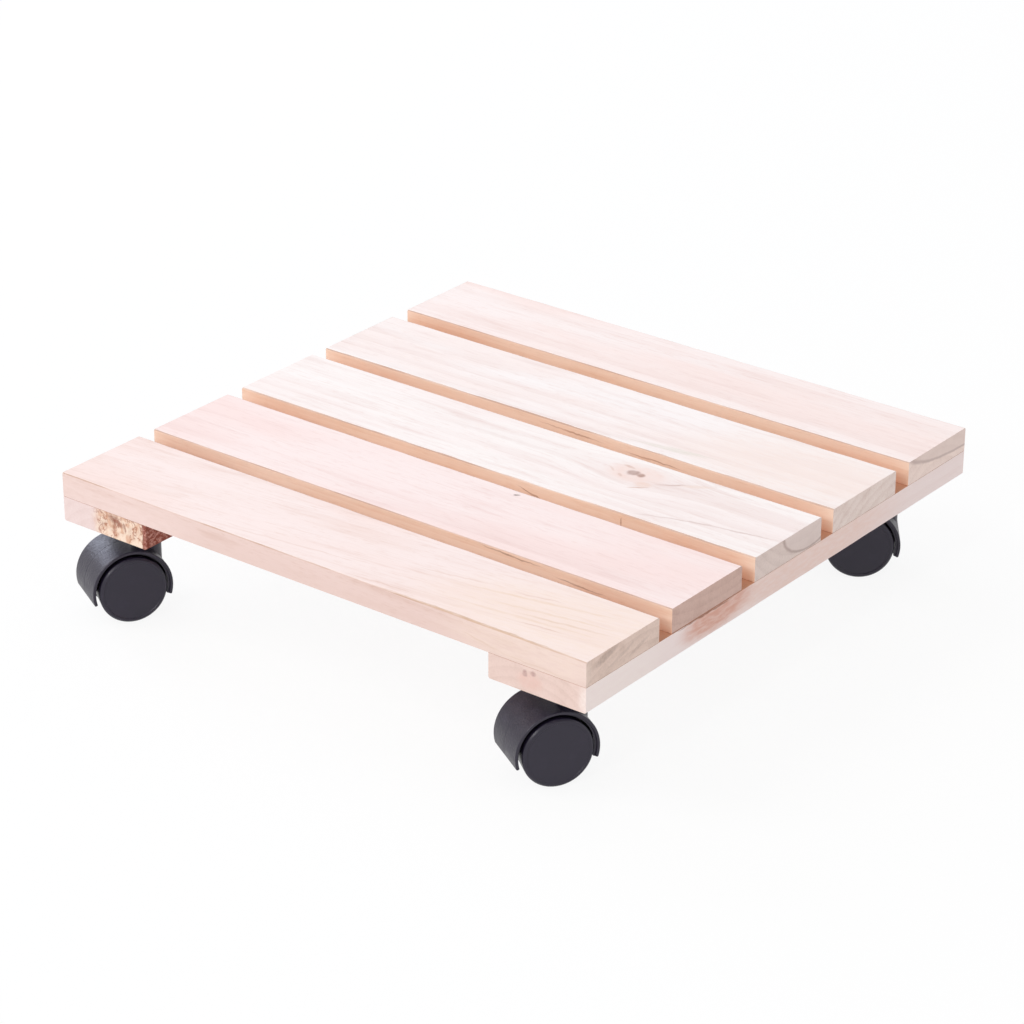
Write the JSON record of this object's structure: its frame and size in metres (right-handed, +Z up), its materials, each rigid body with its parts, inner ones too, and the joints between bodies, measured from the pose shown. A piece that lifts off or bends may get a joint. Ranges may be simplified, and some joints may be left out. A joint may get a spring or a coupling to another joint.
{
  "type": "plant pot caddy",
  "caption": "Square wooden plant pot caddy: spaced slats on two battens, with a hooded, swivelling twin-wheel caster under each corner.",
  "frame": {"origin": "on the floor under the middle of the deck", "axes": "+X along the slats, +Y from the front slat to the back slat, +Z up"},
  "size_m": [0.3006, 0.3144, 0.0705],
  "materials": {
    "slat_wood": "sawn and sanded, unvarnished",
    "batten_wood": "sawn, unvarnished",
    "zinc_steel": "zinc plated",
    "hood_nylon": "satin moulding",
    "wheel_nylon": "fine matte moulding"
  },
  "bodies": {
    "deck": {"slat_1": "slat_wood", "slat_2": "slat_wood", "slat_3": "slat_wood", "slat_4": "slat_wood", "slat_5": "slat_wood", "batten_left": "batten_wood", "batten_right": "batten_wood", "slat_screw_left_1": "zinc_steel", "slat_screw_left_2": "zinc_steel", "slat_screw_left_3": "zinc_steel", "slat_screw_left_4": "zinc_steel", "slat_screw_left_5": "zinc_steel", "slat_screw_right_1": "zinc_steel", "slat_screw_right_2": "zinc_steel", "slat_screw_right_3": "zinc_steel", "slat_screw_right_4": "zinc_steel", "slat_screw_right_5": "zinc_steel", "front_left_plate": "zinc_steel", "front_left_kingpin": "zinc_steel", "front_left_plate_screw_1": "zinc_steel", "front_left_plate_screw_2": "zinc_steel", "front_left_plate_screw_3": "zinc_steel", "front_left_plate_screw_4": "zinc_steel", "front_right_plate": "zinc_steel", "front_right_kingpin": "zinc_steel", "front_right_plate_screw_1": "zinc_steel", "front_right_plate_screw_2": "zinc_steel", "front_right_plate_screw_3": "zinc_steel", "front_right_plate_screw_4": "zinc_steel", "back_left_plate": "zinc_steel", "back_left_kingpin": "zinc_steel", "back_left_plate_screw_1": "zinc_steel", "back_left_plate_screw_2": "zinc_steel", "back_left_plate_screw_3": "zinc_steel", "back_left_plate_screw_4": "zinc_steel", "back_right_plate": "zinc_steel", "back_right_kingpin": "zinc_steel", "back_right_plate_screw_1": "zinc_steel", "back_right_plate_screw_2": "zinc_steel", "back_right_plate_screw_3": "zinc_steel", "back_right_plate_screw_4": "zinc_steel"},
    "front_left_swivel": {"front_left_hood": "hood_nylon", "front_left_axle": "zinc_steel"},
    "front_left_wheel_1": {"front_left_wheel_1": "wheel_nylon"},
    "front_left_wheel_2": {"front_left_wheel_2": "wheel_nylon"},
    "front_right_swivel": {"front_right_hood": "hood_nylon", "front_right_axle": "zinc_steel"},
    "front_right_wheel_1": {"front_right_wheel_1": "wheel_nylon"},
    "front_right_wheel_2": {"front_right_wheel_2": "wheel_nylon"},
    "back_left_swivel": {"back_left_hood": "hood_nylon", "back_left_axle": "zinc_steel"},
    "back_left_wheel_1": {"back_left_wheel_1": "wheel_nylon"},
    "back_left_wheel_2": {"back_left_wheel_2": "wheel_nylon"},
    "back_right_swivel": {"back_right_hood": "hood_nylon", "back_right_axle": "zinc_steel"},
    "back_right_wheel_1": {"back_right_wheel_1": "wheel_nylon"},
    "back_right_wheel_2": {"back_right_wheel_2": "wheel_nylon"}
  },
  "joints": [
    {"name": "front_left_swivel_turn", "type": "hinge", "parent": "deck", "child": "front_left_swivel", "pos_m": [-0.1236, -0.1236, 0.04], "axis": [0, 0, 1], "continuous": true},
    {"name": "front_left_wheel_1_roll", "type": "hinge", "parent": "front_left_swivel", "child": "front_left_wheel_1", "pos_m": [-0.12921, -0.13393, 0.0164], "axis": [-0.8788, 0.4772, 0], "continuous": true},
    {"name": "front_left_wheel_2_roll", "type": "hinge", "parent": "front_left_swivel", "child": "front_left_wheel_2", "pos_m": [-0.12921, -0.13393, 0.0164], "axis": [-0.8788, 0.4772, 0], "continuous": true},
    {"name": "front_right_swivel_turn", "type": "hinge", "parent": "deck", "child": "front_right_swivel", "pos_m": [0.1236, -0.1236, 0.04], "axis": [0, 0, 1], "continuous": true},
    {"name": "front_right_wheel_1_roll", "type": "hinge", "parent": "front_right_swivel", "child": "front_right_wheel_1", "pos_m": [0.11746, -0.13362, 0.0164], "axis": [-0.8526, 0.5225, 0], "continuous": true},
    {"name": "front_right_wheel_2_roll", "type": "hinge", "parent": "front_right_swivel", "child": "front_right_wheel_2", "pos_m": [0.11746, -0.13362, 0.0164], "axis": [-0.8526, 0.5225, 0], "continuous": true},
    {"name": "back_left_swivel_turn", "type": "hinge", "parent": "deck", "child": "back_left_swivel", "pos_m": [-0.1236, 0.1236, 0.04], "axis": [0, 0, 1], "continuous": true},
    {"name": "back_left_wheel_1_roll", "type": "hinge", "parent": "back_left_swivel", "child": "back_left_wheel_1", "pos_m": [-0.12948, 0.13378, 0.0164], "axis": [0.866, 0.5, 0], "continuous": true},
    {"name": "back_left_wheel_2_roll", "type": "hinge", "parent": "back_left_swivel", "child": "back_left_wheel_2", "pos_m": [-0.12948, 0.13378, 0.0164], "axis": [0.866, 0.5, 0], "continuous": true},
    {"name": "back_right_swivel_turn", "type": "hinge", "parent": "deck", "child": "back_right_swivel", "pos_m": [0.1236, 0.1236, 0.04], "axis": [0, 0, 1], "continuous": true},
    {"name": "back_right_wheel_1_roll", "type": "hinge", "parent": "back_right_swivel", "child": "back_right_wheel_1", "pos_m": [0.11403, 0.11678, 0.0164], "axis": [-0.5807, 0.8141, 0], "continuous": true},
    {"name": "back_right_wheel_2_roll", "type": "hinge", "parent": "back_right_swivel", "child": "back_right_wheel_2", "pos_m": [0.11403, 0.11678, 0.0164], "axis": [-0.5807, 0.8141, 0], "continuous": true}
  ]
}
